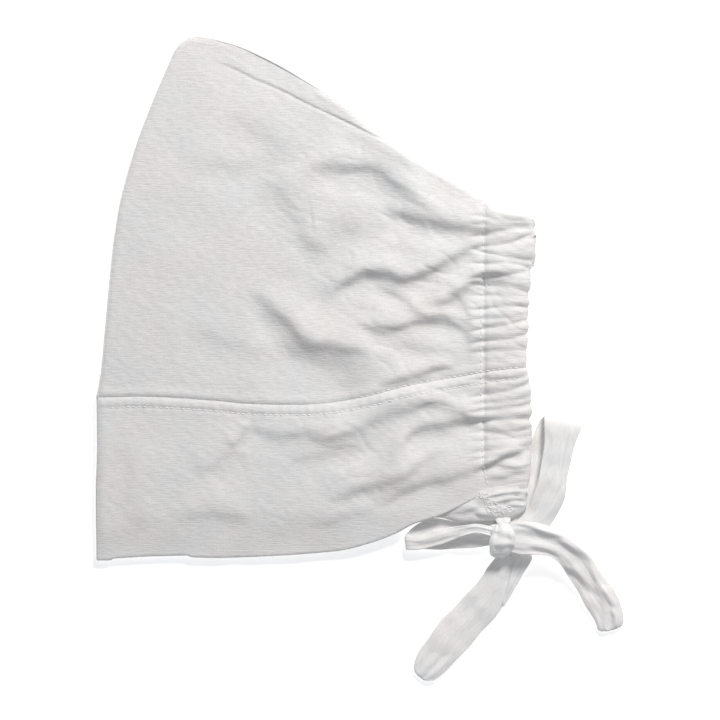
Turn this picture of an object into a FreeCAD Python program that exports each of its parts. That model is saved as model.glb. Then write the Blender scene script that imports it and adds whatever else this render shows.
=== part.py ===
"""A tie-back jersey under-cap, folded flat along its centre line and lying on a table, its ties in a bow.

Millimetres, +Z up. The origin is on the table, under the middle of the folded cap body. The wearer's left
side is the upper one. The forehead fold runs along the low-X edge, the face opening along the low-Y edge,
the seam over the back of the head along the high-Y edge and the gathered nape hem along the high-X edge.

The two sides are joined by a hinge on the forehead fold, so the upper side lifts to open the cap. Each
strip of the bow turns about an upright neck that sits in a round pocket of the knot.
"""

import FreeCAD
import Part
import math
import os

V = FreeCAD.Vector
UP = V(0, 0, 1)

# Cloth
JERSEY = 0.9                 # one layer of jersey
DOUBLE = 2 * JERSEY          # the band is a strip folded in half, so it is two layers
STRIP = 1.6                  # a tie, a narrow tube pressed flat
THREAD_WIDTH = 0.8
THREAD_HEIGHT = 0.35

# The folded cap body
CAP_HEIGHT = 12.0            # table to the top face of the upper side
FOLD_X = -109.5              # forehead fold
HEM_EDGE_X = 107.5           # nape edge
HEM_WIDTH = 25.5             # nape hem, the tunnel for the elastic
HEM_SEAM_X = HEM_EDGE_X - HEM_WIDTH
HEM_TOP_Y = 42.0             # centre back
HEM_CORNER = 8.0             # rounding of the hem at the centre back
TUNNEL_HEIGHT = 4.9          # one side's hem, outside to outside
FOLD_RADIUS = CAP_HEIGHT / 2
FOLD_ARC = (90.0, 165.0, 240.0)   # the rolled part of the fold: its start, middle and end
SHOULDER = 4.5               # rounding of the upper side where it turns down to its seam
SEAM_GAP = 1.3               # left open between the two crown panels, where the real seam joins them

# The crown's sewn edge: up the front from the band, round the apex and down the back to the hem.
CROWN_EDGE = [(FOLD_X, -51.0), (-106.0, -16.0), (-98.0, 42.0), (-75.0, 114.5), (-63.5, 129.0), (-36.0, 124.0),
              (-2.5, 106.5), (31.0, 81.5), (91.0, HEM_TOP_Y)]
BAND_SEAM = [(FOLD_X, -51.0), (-54.0, -51.0), (-12.0, -54.5), (42.0, -45.5), (79.0, -38.5),
             (HEM_EDGE_X, -38.5)]
BAND_FRONT_Y = -130.0        # face edge at the forehead fold
LEFT_FACE_EDGE = [(-33.0, -129.0), (12.0, -125.0), (39.0, -117.0), (63.0, -108.0), (87.0, -94.0)]
LEFT_HEM_END_Y = -90.0
RIGHT_FACE_EDGE = [(-33.0, -128.5), (12.0, -124.0), (39.0, -116.0), (60.0, -110.0), (80.0, -113.0),
                   (99.0, -109.5)]
RIGHT_HEM_END_Y = -100.0

# The elastic
ELASTIC_WIDTH = 20.0
ELASTIC_THICK = 1.2
ELASTIC_BEND_Y = 32.4        # where it starts to turn over at the centre back
ELASTIC_END_Y = -84.0
ELASTIC_LOW_Z = 2.4          # middle of its lower run

# Threads
SEAM_ROWS = (1.2, 5.2)       # the two needle rows, measured from the seam onto the band
ROW_END_INSET = 2.5
OVERLOCK_INSET = 2.0         # from the crown's edge to the overlocked seam allowance
OVERLOCK_WIDTH = 4.0
TACK_SIZE = (12.0, 8.0)

# The bow
KNOT = V(95.0, -120.5, 0)
KNOT_RADIUS = 9.0
KNOT_BOTTOM = 2.2
KNOT_TOP = 14.0
KNOT_ROUNDING = 3.0
NECK_RADIUS = 3.5
NECK_REACH = 6.5             # from the knot's middle to a neck's axis
NECK_CLEARANCE = 0.4
POCKET_FLARE = 3.5           # the pocket's mouth widens by this on each side, over POCKET_DEPTH
POCKET_DEPTH = 5.0

LOWER_LOOP_ANGLE = 180.0
UPPER_LOOP_ANGLE = 45.0
LEFT_TAIL_ANGLE = -5.0
RIGHT_TAIL_ANGLE = -80.0
# Stations of each strip after its neck: x, y, height, width. A loop's height is that of its lower strand.
LOWER_LOOP = [(81, -120, 3.6, 8.5), (70, -119.5, 3.6, 11), (58, -119.3, 3.6, 13), (49.5, -120, 3.6, 13.5)]
LOWER_LOOP_RISE = 4.2        # between the two strands
UPPER_LOOP = [(106.5, -112.5, 4.3, 7), (113, -105.5, 4.3, 11), (118, -95, 4.3, 13.5), (120.7, -80, 4.3, 14.5),
              (122, -70, 4.3, 17), (123.5, -63, 4.3, 20)]
UPPER_LOOP_RISE = 3.9
LEFT_TAIL = [(107, -121, 11.4, 8), (113.5, -122, 11.4, 12.5), (120, -125, 11, 14), (127, -130.5, 8.5, 14.5),
             (133.5, -138.5, 5.2, 15.5), (139.5, -148, 2.8, 16), (144, -157, 1.5, 15.5), (147, -166.5, 1.4, 9)]
RIGHT_TAIL = [(97.2, -131.5, 4.4, 10), (93.5, -138, 3.2, 15), (87, -147.5, 1.8, 17), (78, -158, 1.5, 18.2),
              (68, -169.5, 1.4, 18.6), (58.5, -180.5, 1.4, 17), (53, -187, 1.4, 12), (50.5, -190.5, 1.4, 7)]
LEFT_TAIL_ROOT_Z = 11.4
RIGHT_TAIL_ROOT_Z = 4.4
ROOT_STRAP_X = 94.0
ROOT_STRAP_WIDTH = 7.0
LEFT_ROOT_START_Y = -94.0
RIGHT_ROOT_START_Y = -100.5
ROOT_STRAP_END_Y = -110.9


def flat(x, y):
    return V(x, y, 0)


def spline(points):
    curve = Part.BSplineCurve()
    curve.interpolate([flat(x, y) for x, y in points])
    return curve.toShape()


def path(points):
    """Straight edges through the points."""
    return [Part.makeLine(flat(*a), flat(*b)) for a, b in zip(points, points[1:])]


def face(edges):
    return Part.Face(Part.Wire(Part.__sortEdges__(edges)))


def slab(outline, low, high):
    """The outline, from height low to height high."""
    placed = outline.copy()
    placed.translate(V(0, 0, low))
    return placed.extrude(V(0, 0, high - low))


def box(x0, x1, y0, y1, z0, z1):
    return Part.makeBox(x1 - x0, y1 - y0, z1 - z0, V(x0, y0, z0))


def crown_edge(inset=0.0):
    """The crown's sewn edge, from the band seam to the hem, moved inwards by inset."""
    moved = []
    for i, (x, y) in enumerate(CROWN_EDGE):
        before = CROWN_EDGE[max(i - 1, 0)]
        after = CROWN_EDGE[min(i + 1, len(CROWN_EDGE) - 1)]
        inwards = V(after[1] - before[1], before[0] - after[0], 0).normalize() * inset
        moved.append((x + inwards.x, y + inwards.y))
    return spline(moved)


def hem_corner_edges():
    """The hem's outline round the centre back."""
    turn = HEM_CORNER * math.sqrt(0.5)
    centre = (HEM_EDGE_X - HEM_CORNER, HEM_TOP_Y - HEM_CORNER)
    start = flat(centre[0], HEM_TOP_Y)
    middle = flat(centre[0] + turn, centre[1] + turn)
    end = flat(HEM_EDGE_X, centre[1])
    return [Part.makeLine(flat(*CROWN_EDGE[-1]), start), Part.Arc(start, middle, end).toShape()]


def crown_outline():
    side = path([(HEM_EDGE_X, HEM_TOP_Y - HEM_CORNER), BAND_SEAM[-1]])
    return face([crown_edge()] + hem_corner_edges() + side + [spline(BAND_SEAM)])


def band_outline(face_edge, hem_end_y):
    """One half of the band, from the forehead fold's axis to the nape edge, cut off at the band seam."""
    fold_x = FOLD_X + FOLD_RADIUS
    end = [face_edge[-1], (HEM_EDGE_X, hem_end_y), BAND_SEAM[-1]]
    top = Part.makeLine(flat(*BAND_SEAM[-1]), flat(HEM_EDGE_X, 0))
    back = Part.makeLine(flat(HEM_EDGE_X, 0), flat(fold_x, 0))
    side = Part.makeLine(flat(fold_x, 0), flat(fold_x, BAND_FRONT_Y))
    edge = spline([(fold_x, BAND_FRONT_Y)] + face_edge)
    whole = face([top, back, side, edge] + path(end))
    above_seam = face([spline(BAND_SEAM)] + path([BAND_SEAM[-1], (HEM_EDGE_X, 1), (FOLD_X, 1), BAND_SEAM[0]]))
    return whole.cut(above_seam).Faces[0]


def seam_y(x):
    """Height of the band seam at x."""
    line = Part.makeLine(flat(x, BAND_FRONT_Y), flat(x, HEM_TOP_Y))
    return spline(BAND_SEAM).distToShape(line)[1][0][0].y


def hem_tunnel(outline, outside, inward, end_y):
    """The hem turned over the elastic. outside is the height of the outer face, and inward is +1 or -1."""
    inside = outside + inward * TUNNEL_HEIGHT
    low, high = min(outside, inside), max(outside, inside)
    wall = box(HEM_SEAM_X, HEM_EDGE_X, end_y, ELASTIC_BEND_Y, low, high)
    hollow = box(HEM_SEAM_X + JERSEY, HEM_EDGE_X - JERSEY, end_y - 1, HEM_TOP_Y, low + JERSEY, high - JERSEY)
    return slab(outline, low, high).common(wall).cut(hollow)


def rounded_cover(inset, low, high, radius):
    """A block inside the crown's sewn edge, rounded along it, that runs past the band seam and the hem."""
    edge = crown_edge(inset)
    start = edge.Vertexes[0].Point
    end = edge.Vertexes[-1].Point
    past = HEM_EDGE_X + HEM_CORNER + inset
    below = BAND_FRONT_Y - inset
    closing = path([(end.x, end.y), (past, end.y), (past, below), (start.x, below), (start.x, start.y)])
    block = slab(face([edge] + closing), low, high)
    sewn = [e for e in block.Edges if e.BoundBox.ZMin > high - 0.01 and e.BoundBox.YMax > HEM_TOP_Y + 1]
    return block.makeFillet(radius, sewn)


def crown_left_panel():
    """The upper side of the crown: a shallow cover, its sewn edge turned down towards the lower side."""
    low = JERSEY + SEAM_GAP
    outside = rounded_cover(0.0, low, CAP_HEIGHT, SHOULDER)
    inside = rounded_cover(JERSEY, low - 1, CAP_HEIGHT - JERSEY, SHOULDER - JERSEY)
    outline = crown_outline()
    cover = outside.cut(inside).common(slab(outline, 0, CAP_HEIGHT))
    return cover.fuse(hem_tunnel(outline, CAP_HEIGHT, -1, BAND_SEAM[-1][1])).removeSplitter()


def spline_strip(points, half_width):
    """A flat strip that follows a curve, half_width to either side in Y."""
    above = [(x, y + half_width) for x, y in points]
    below = [(x, y - half_width) for x, y in points]
    return face([spline(above), spline(below)] + path([above[0], below[0]]) + path([above[-1], below[-1]]))


def crown_right_panel():
    outline = crown_outline()
    sheet = slab(outline, 0, JERSEY)
    return sheet.fuse(hem_tunnel(outline, 0, 1, BAND_SEAM[-1][1])).removeSplitter()


def crown_seam_overlock():
    """The overlocked seam allowance that lies inside the cap along the crown's sewn edge."""
    outer = crown_edge(OVERLOCK_INSET)
    inner = crown_edge(OVERLOCK_INSET + OVERLOCK_WIDTH)
    ends = [Part.makeLine(outer.Vertexes[i].Point, inner.Vertexes[i].Point) for i in (0, -1)]
    ribbon = slab(face([outer, inner] + ends), JERSEY, JERSEY + 2 * THREAD_WIDTH)
    above_band = box(FOLD_X, HEM_SEAM_X - 7, BAND_SEAM[0][1] + 8, CROWN_EDGE[4][1], 0, CAP_HEIGHT)
    return ribbon.common(above_band)


def band_left_half():
    """The upper half of the band, with the forehead fold rolled round the cap's hinge axis."""
    outline = band_outline(LEFT_FACE_EDGE, LEFT_HEM_END_Y)
    sheet = slab(outline, CAP_HEIGHT - DOUBLE, CAP_HEIGHT)
    axis = V(FOLD_X + FOLD_RADIUS, BAND_FRONT_Y, FOLD_RADIUS)

    def rim(radius, degrees):
        turn = math.radians(degrees)
        return axis + V(radius * math.cos(turn), 0, radius * math.sin(turn))

    outer = [rim(FOLD_RADIUS, degrees) for degrees in FOLD_ARC]
    inner = [rim(FOLD_RADIUS - DOUBLE, degrees) for degrees in FOLD_ARC]
    section = face([Part.Arc(*outer).toShape(), Part.Arc(*inner).toShape(),
                    Part.makeLine(outer[0], inner[0]), Part.makeLine(outer[-1], inner[-1])])
    roll = section.extrude(V(0, BAND_SEAM[0][1] - BAND_FRONT_Y, 0))
    tunnel = hem_tunnel(outline, CAP_HEIGHT, -1, LEFT_HEM_END_Y)
    return sheet.fuse([roll, tunnel]).removeSplitter()


def band_right_half():
    outline = band_outline(RIGHT_FACE_EDGE, RIGHT_HEM_END_Y)
    sheet = slab(outline, 0, DOUBLE)
    return sheet.fuse(hem_tunnel(outline, 0, 1, RIGHT_HEM_END_Y)).removeSplitter()


def nape_elastic():
    """One tape: along the lower hem, over at the centre back, and back along the upper hem."""
    high_z = CAP_HEIGHT - ELASTIC_LOW_Z
    radius = (high_z - ELASTIC_LOW_Z) / 2
    x0 = (HEM_SEAM_X + HEM_EDGE_X - ELASTIC_WIDTH) / 2
    half = ELASTIC_THICK / 2
    runs = [box(x0, x0 + ELASTIC_WIDTH, ELASTIC_END_Y, ELASTIC_BEND_Y, z - half, z + half)
            for z in (ELASTIC_LOW_Z, high_z)]
    centre = V(x0, ELASTIC_BEND_Y, CAP_HEIGHT / 2)
    bend = Part.makeCylinder(radius + half, ELASTIC_WIDTH, centre, V(1, 0, 0))
    bend = bend.cut(Part.makeCylinder(radius - half, ELASTIC_WIDTH, centre, V(1, 0, 0)))
    bend = bend.cut(box(x0 - 1, x0 + ELASTIC_WIDTH + 1, ELASTIC_END_Y, ELASTIC_BEND_Y, 0, CAP_HEIGHT))
    return runs[0].fuse([runs[1], bend]).removeSplitter()


def seam_rows(x0, x1, z):
    """The two needle rows beside the band seam, from x0 to x1, lying on height z."""
    rows = []
    for offset in SEAM_ROWS:
        points = [(x, y - offset) for x, y in BAND_SEAM]
        row = slab(spline_strip(points, THREAD_WIDTH / 2), z, z + THREAD_HEIGHT)
        rows.append(row.common(box(x0, x1, BAND_FRONT_Y, HEM_TOP_Y, 0, CAP_HEIGHT + 1)))
    return rows


def band_seam_thread_left():
    return Part.makeCompound(seam_rows(FOLD_X + FOLD_RADIUS, HEM_EDGE_X - ROW_END_INSET, CAP_HEIGHT))


def band_seam_thread_right():
    """Inside the cap, and over the hem where the seam was turned in with it."""
    on_band = seam_rows(FOLD_X + FOLD_RADIUS, HEM_SEAM_X - ROW_END_INSET, DOUBLE)
    on_hem = seam_rows(HEM_SEAM_X + ROW_END_INSET, HEM_EDGE_X - ROW_END_INSET, TUNNEL_HEIGHT)
    return Part.makeCompound(on_band + on_hem)


def hem_thread(z, end_y):
    """The row that closes the hem, in two runs so that it stops at the raised band seam rows."""
    x = HEM_SEAM_X + JERSEY
    gap_low = seam_y(x) - SEAM_ROWS[1] - 1.5
    gap_high = seam_y(x) - SEAM_ROWS[0] + 1.5
    runs = [(end_y + 2, gap_low), (gap_high, ELASTIC_BEND_Y - 2)]
    return Part.makeCompound([box(x, x + THREAD_WIDTH, low, high, z, z + THREAD_HEIGHT) for low, high in runs])


def tack(x, y, z):
    """A sewn box with a cross in it, its low corner at x, y."""
    width, height = TACK_SIZE
    frame = box(x, x + width, y, y + height, z, z + THREAD_HEIGHT)
    frame = frame.cut(box(x + THREAD_WIDTH, x + width - THREAD_WIDTH, y + THREAD_WIDTH,
                          y + height - THREAD_WIDTH, z - 1, z + 1))
    middle = V(x + width / 2, y + height / 2, z)
    bar = box(-width / 2, width / 2, -THREAD_WIDTH / 2, THREAD_WIDTH / 2, 0, THREAD_HEIGHT)
    for angle in (32, -32):
        cross = bar.copy()
        cross.rotate(V(0, 0, 0), UP, angle)
        cross.translate(middle)
        frame = frame.fuse(cross)
    return frame.removeSplitter()


def neck_point(angle, z):
    turn = math.radians(angle)
    return V(KNOT.x + NECK_REACH * math.cos(turn), KNOT.y + NECK_REACH * math.sin(turn), z)


def rectangle(centre, side, normal, width, thick):
    """A wire across a strip, from the unit vectors of its width and its thickness."""
    a, b = side * (width / 2), normal * (thick / 2)
    corners = [centre - a - b, centre + a - b, centre + a + b, centre - a + b]
    return Part.makePolygon(corners + corners[:1])


def stations(angle, root_z, points):
    """[centre, side, width] along a strip, starting at its neck."""
    centres = [neck_point(angle, root_z)] + [V(x, y, z) for x, y, z, _ in points]
    widths = [1.5 * NECK_RADIUS] + [p[3] for p in points]
    found = []
    for i, centre in enumerate(centres):
        heading = centres[min(i + 1, len(centres) - 1)] - centres[max(i - 1, 0)]
        side = V(-heading.y, heading.x, 0).normalize()
        found.append((centre, side, widths[i]))
    return found


def neck(angle, low, high, extra=0.0):
    base = neck_point(angle, low - extra)
    return Part.makeCylinder(NECK_RADIUS + extra, high - low + 2 * extra, base, UP)


def tail(angle, root_z, points):
    wires = [rectangle(c, side, UP, width, STRIP) for c, side, width in stations(angle, root_z, points)]
    strip = Part.makeLoft(wires, True, True)
    return strip.fuse(neck(angle, root_z - STRIP / 2, root_z + STRIP / 2)).removeSplitter()


def loop(angle, points, rise):
    """A strip that runs out, turns back over itself and returns, rise above its first strand."""
    out = stations(angle, points[0][2], points)
    last, side, width = out[-1]
    ahead = (last - out[-2][0]).normalize()
    wires = [rectangle(c, s, UP, w, STRIP) for c, s, w in out]
    turn_steps = 4
    for i in range(1, turn_steps):
        turn = math.pi * i / turn_steps
        radial = ahead * math.sin(turn) - UP * math.cos(turn)
        centre = last + UP * (rise / 2) + radial * (rise / 2)
        wires.append(rectangle(centre, side, radial * -1, width, STRIP))
    lift = UP * rise
    wires += [rectangle(c + lift, s, UP * -1, w, STRIP) for c, s, w in reversed(out)]
    strip = Part.makeLoft(wires, True, True)
    low = points[0][2] - STRIP / 2
    return strip.fuse(neck(angle, low, low + rise + STRIP)).removeSplitter()


def pocket(angle, low, high):
    """Room in the knot for a neck, with a flared mouth that lets the strip swing."""
    turn = math.radians(angle)
    ahead = V(math.cos(turn), math.sin(turn), 0)
    across = V(-math.sin(turn), math.cos(turn), 0)
    narrow = NECK_RADIUS + NECK_CLEARANCE
    wide = narrow + POCKET_FLARE
    start = neck_point(angle, low - NECK_CLEARANCE)
    end = start + ahead * POCKET_DEPTH
    corners = [start - across * narrow, end - across * wide, end + across * wide, start + across * narrow]
    mouth = Part.Face(Part.makePolygon(corners + corners[:1]))
    mouth = mouth.extrude(V(0, 0, high - low + 2 * NECK_CLEARANCE))
    return mouth.fuse(neck(angle, low, high, NECK_CLEARANCE))


def tie_knot():
    lump = Part.makeCylinder(KNOT_RADIUS, KNOT_TOP - KNOT_BOTTOM, KNOT + UP * KNOT_BOTTOM, UP)
    lump = lump.makeFillet(KNOT_ROUNDING, [e for e in lump.Edges if e.Curve.TypeId == "Part::GeomCircle"])
    loops = ((LOWER_LOOP_ANGLE, LOWER_LOOP, LOWER_LOOP_RISE), (UPPER_LOOP_ANGLE, UPPER_LOOP, UPPER_LOOP_RISE))
    for angle, points, rise in loops:
        low = points[0][2] - STRIP / 2
        lump = lump.cut(pocket(angle, low, low + rise + STRIP))
    for angle, root_z in ((LEFT_TAIL_ANGLE, LEFT_TAIL_ROOT_Z), (RIGHT_TAIL_ANGLE, RIGHT_TAIL_ROOT_Z)):
        lump = lump.cut(pocket(angle, root_z - STRIP / 2, root_z + STRIP / 2))
    return lump


def root_strap(start_y, z):
    """A tie between the hem end, where it is sewn on, and the knot."""
    half = ROOT_STRAP_WIDTH / 2
    return box(ROOT_STRAP_X - half, ROOT_STRAP_X + half, ROOT_STRAP_END_Y, start_y, z, z + STRIP)


NODES = {
    "crown_left_panel": crown_left_panel,
    "crown_right_panel": crown_right_panel,
    "crown_seam_overlock": crown_seam_overlock,
    "band_left_half": band_left_half,
    "band_right_half": band_right_half,
    "nape_elastic": nape_elastic,
    "band_seam_thread_left": band_seam_thread_left,
    "band_seam_thread_right": band_seam_thread_right,
    "hem_thread_left": lambda: hem_thread(CAP_HEIGHT, LEFT_HEM_END_Y),
    "hem_thread_right": lambda: hem_thread(TUNNEL_HEIGHT, RIGHT_HEM_END_Y),
    "elastic_tack_left": lambda: tack(HEM_SEAM_X + 3, -76.0, CAP_HEIGHT),
    "elastic_tack_right": lambda: tack(HEM_SEAM_X + 8, -98.0, TUNNEL_HEIGHT),
    "tie_root_left": lambda: root_strap(LEFT_ROOT_START_Y, CAP_HEIGHT - JERSEY - STRIP),
    "tie_root_right": lambda: root_strap(RIGHT_ROOT_START_Y, DOUBLE),
    "tie_knot": tie_knot,
    "left_tie_loop": lambda: loop(UPPER_LOOP_ANGLE, UPPER_LOOP, UPPER_LOOP_RISE),
    "left_tie_tail": lambda: tail(LEFT_TAIL_ANGLE, LEFT_TAIL_ROOT_Z, LEFT_TAIL),
    "right_tie_loop": lambda: loop(LOWER_LOOP_ANGLE, LOWER_LOOP, LOWER_LOOP_RISE),
    "right_tie_tail": lambda: tail(RIGHT_TAIL_ANGLE, RIGHT_TAIL_ROOT_Z, RIGHT_TAIL),
}

os.makedirs("parts", exist_ok=True)
for node, build in NODES.items():
    shape = build()
    print(node, "valid" if shape.isValid() else "NOT VALID", len(shape.Solids), round(shape.Volume, 1))
    shape.exportStep(f"parts/{node}.step")
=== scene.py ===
"""The looks of the tie-back jersey under-cap: wrinkled jersey, gathered nape hem, stitching and the bow.

Shapes are worked out in millimetres in the row frame, +Z up, and turned into metres when a mesh is made.
"Upper" is the wearer's left side, which faces up, and "lower" is the right side, which lies on the table.
"""

import math

import bpy
import numpy as np
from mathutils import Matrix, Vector


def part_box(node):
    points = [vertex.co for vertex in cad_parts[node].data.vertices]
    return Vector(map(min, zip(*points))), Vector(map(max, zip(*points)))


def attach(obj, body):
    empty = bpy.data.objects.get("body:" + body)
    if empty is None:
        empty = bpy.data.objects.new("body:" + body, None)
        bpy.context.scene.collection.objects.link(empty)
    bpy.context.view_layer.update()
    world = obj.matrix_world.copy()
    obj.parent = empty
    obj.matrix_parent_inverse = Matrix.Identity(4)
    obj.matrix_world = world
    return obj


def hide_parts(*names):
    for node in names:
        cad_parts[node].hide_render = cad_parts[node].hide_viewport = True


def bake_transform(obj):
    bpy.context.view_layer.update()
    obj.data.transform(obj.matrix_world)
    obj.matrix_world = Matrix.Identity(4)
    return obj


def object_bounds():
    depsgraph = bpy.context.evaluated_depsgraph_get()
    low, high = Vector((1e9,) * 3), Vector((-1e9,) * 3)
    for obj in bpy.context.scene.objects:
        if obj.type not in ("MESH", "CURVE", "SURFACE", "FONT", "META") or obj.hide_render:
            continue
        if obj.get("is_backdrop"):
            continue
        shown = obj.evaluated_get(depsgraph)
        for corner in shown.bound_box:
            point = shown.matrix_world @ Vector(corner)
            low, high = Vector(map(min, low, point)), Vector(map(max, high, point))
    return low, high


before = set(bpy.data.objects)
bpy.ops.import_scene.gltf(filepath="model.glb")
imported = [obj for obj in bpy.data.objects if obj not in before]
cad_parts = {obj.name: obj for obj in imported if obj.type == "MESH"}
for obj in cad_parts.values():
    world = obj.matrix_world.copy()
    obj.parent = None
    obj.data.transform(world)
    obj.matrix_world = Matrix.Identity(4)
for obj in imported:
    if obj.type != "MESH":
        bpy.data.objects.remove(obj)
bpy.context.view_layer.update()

MM = 0.001


def box_mm(node):
    low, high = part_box(node)
    return np.array(low) / MM, np.array(high) / MM


# ---------------------------------------------------------------- places taken from the CAD part

FOLD_X = box_mm("band_left_half")[0][0]              # forehead fold
HEM_X = box_mm("crown_left_panel")[1][0]             # nape edge
HEM_SEAM_X = box_mm("hem_thread_left")[0][0] + 0.6   # the row that closes the hem
KNOT_LOW, KNOT_HIGH = box_mm("tie_knot")
KNOT = (KNOT_LOW + KNOT_HIGH) / 2
FACE_Y = box_mm("band_left_half")[0][1]              # lowest Y of the face opening

# ---------------------------------------------------------------- outlines, in mm

BAND_SEAM = [(FOLD_X, -50.6), (-83, -50.2), (-54, -51.9), (-34, -53.7), (-10, -54.2), (7, -53.2), (25, -50),
             (49, -44), (76, -39.4), (90, -37), (HEM_X - 2.5, -35.6)]
FRONT_EDGE = [(FOLD_X, -50.6), (-107.3, -38.5), (-105.4, -18.6), (-103, 7.7), (-101, 27)]
TOP_EDGE = [(-101, 27), (-97.2, 49), (-90, 74.5), (-82.6, 94.4), (-73.5, 116), (-69.3, 124.3), (-63, 129.2),
            (-55, 129.2), (-46, 127.2), (-35, 123.6), (-18.5, 115.6), (-2.5, 106), (14.4, 95), (31, 81.6),
            (54, 66.2), (71.8, 56), (84, 49), (91, 44), (98, 42.4), (104.5, 40.8), (109.4, 37), (110.6, 30)]
# The crown's seam, where the lower side's cloth has rolled over onto the top.
ROLLED_SEAM = [(-54, 118.5), (-42, 114.2), (-30.5, 108.4), (-24.3, 106), (-14.5, 101.6), (-4.7, 96.4),
               (7, 91), (16.6, 86.5), (27, 81.2), (36, 77.6)]
HEM_EDGE_CROWN = [(HEM_X - 2.5, -35.6), (105.3, -29.3), (106.4, -14.3), (107.2, 3.3), (107.6, 10.5),
                  (110.2, 16), (109.4, 23.5), (110.6, 30)]
HEM_EDGE_BAND = [(104.6, -98.2), (106.8, -90), (107.6, -76), (108.6, -66.8), (107.6, -61.8), (108.1, -54.3),
                 (107, -40.8), (HEM_X - 2.5, -35.6)]
FACE_EDGE = [(FOLD_X, FACE_Y - 1.1), (-103, -131), (-98, -129.9), (-67, -128.6), (-60, -129.6), (-38, -129.6),
             (7, -126.8), (27, -122.3), (39, -117.8), (48.5, -112.8), (62.8, -108.1), (78.8, -100.1),
             (85, -96.2), (90, -97.6), (97, -98.8), (104.6, -98.2)]
LOWER_FACE_EDGE = [(FOLD_X + 1.5, FACE_Y - 0.2), (-98, -129.4), (-60, -128.6), (7, -125.4), (39, -116.6),
                   (52, -111), (61, -109.6), (73, -112.2), (84, -113), (92, -112.2), (98, -110), (101, -106)]
LOWER_HEM_EDGE_BAND = [(101, -106), (103.6, -96), (105, -76), (105.4, -60), (104.6, -40.8),
                       (HEM_X - 4, -35.6)]
LOWER_HEM_EDGE_CROWN = [(HEM_X - 4, -35.6), (103.8, -14), (105, 3), (105.6, 12), (107.4, 24), (108.6, 30)]
LOWER_TOP_EDGE = TOP_EDGE[:-3] + [(103.5, 40.4), (107.6, 36.6), (108.6, 30)]
LOWER_BAND_SEAM = BAND_SEAM[:-1] + [(HEM_X - 4, -35.6)]

# ---------------------------------------------------------------- cloth heights, in mm

JERSEY = 0.9                 # one layer of cloth
BAND_CLOTH = 1.7             # the band is doubled
FLAT_TOP = 6.5               # the upper side by the forehead fold
NAPE_TOP = 9.6               # the upper side near the gathered hem
EDGE_MID = 3.9               # the two sides meet at this height along the forehead fold
BACK_MID = 5.4               # and at this height along the back seam
EDGE_ROLL = 4.6              # width over which the lower side turns up to a closed edge
TOP_ROLL = 3.4               # width over which the upper side turns down to it
EDGE_SINK = 1.1              # the upper side sinks this much towards a closed edge
HEM_MID = 8.2                # the upper hem turns in at this height
HEM_ROLL = 4.5               # width over which the upper side turns down to the nape edge
HEM_PUFF = 1.7               # the hem tunnel swells this much over its elastic
HEM_TURN = 2.2               # radius of the turn at the nape edge
TURN_COLUMNS = 11            # mesh columns of the turned-in hem
FOLD_TURN = 5.5              # radius of the turn under at the forehead fold
FOLD_REST = 0.1              # height of the cloth that lies under that fold
ROW_OFFSETS = (1.0, 5.1)     # the needle rows, measured from the band seam onto the band

# Folds: depth, half width, points of the dark side. The ridge is on the left of the direction of travel.
CROWN_FOLDS = [
    (2.4, 4.6, [(30, 45.5), (40, 41.5), (50.4, 37.9), (65.6, 34.6), (78.6, 33), (90, 32.6), (100, 33)]),
    (2.2, 5.4, [(-8, 58), (-2, 61.4), (8, 64), (22, 63.6), (32, 60), (43.8, 52), (54, 44.6), (64, 41)]),
    (3.0, 4.4, [(2, -7), (9, 1.5), (15.6, 6.4), (24.3, 11), (33, 10.7), (41.7, 7.9), (50.4, 9.6), (61.2, 14),
                (69.9, 19.4), (77, 22.4), (86, 21), (96, 18)]),
    (2.6, 4.4, [(50, -3), (56, -3.4), (65.6, -2.3), (74.2, 4.2), (82.9, 8.5), (93, 10.4), (103, 10.6)]),
    (1.9, 3.8, [(15, -13), (22, -15), (37.3, -16.8), (48.2, -13.6), (61.2, -13.2), (71, -15.3), (75.3, -20.8),
                (77, -27)]),
    (1.0, 3.0, [(27, 6), (36, 2.5), (43.8, -2.2), (52.5, -8.8), (62, -10.8), (70, -10.6), (76, -13.5)]),
    (2.2, 5.4, [(-36, 5), (-30, 1), (-19.1, -9.9), (-8.3, -20.8), (0.4, -26.6), (13.4, -26.2), (22.1, -28),
                (33, -34)]),
    (1.5, 9.0, [(-24, -18), (-10, -28), (6, -33), (20, -35), (32, -38)]),
    (1.9, 3.0, [(29, -45.2), (40, -42.6), (50, -39.8), (61.2, -36.6), (72, -35)]),
    (1.2, 8.0, [(-26, 62), (-19, 52), (-11, 40), (-3, 28), (3, 22)]),
    (0.5, 4.0, [(-12, 33), (-5, 27), (1, 22.6), (8, 21)]),
    (0.8, 9.0, [(-48, 90), (-32, 84), (-18, 76), (-8, 68)]),
    (0.8, 6.0, [(-10, 27), (2, 24), (14, 33), (27, 31)]),
    (1.0, 3.0, [(63, 9), (70, 1), (75, -8), (77.5, -18), (76, -31)]),
    (0.8, 5.0, [(34, 27), (46, 23), (58, 23), (66, 27)]),
    (0.7, 5.5, [(-64, 60), (-52, 66), (-38, 64), (-24, 68)]),
    (0.9, 4.0, [(36, -25), (48, -24), (60, -27), (70, -26)]),
    (0.6, 6.0, [(-66, -12), (-50, -22), (-36, -26), (-22, -36)]),
    (0.8, 5.0, [(8, 82), (24, 76), (40, 68), (52, 60)]),
]
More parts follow.
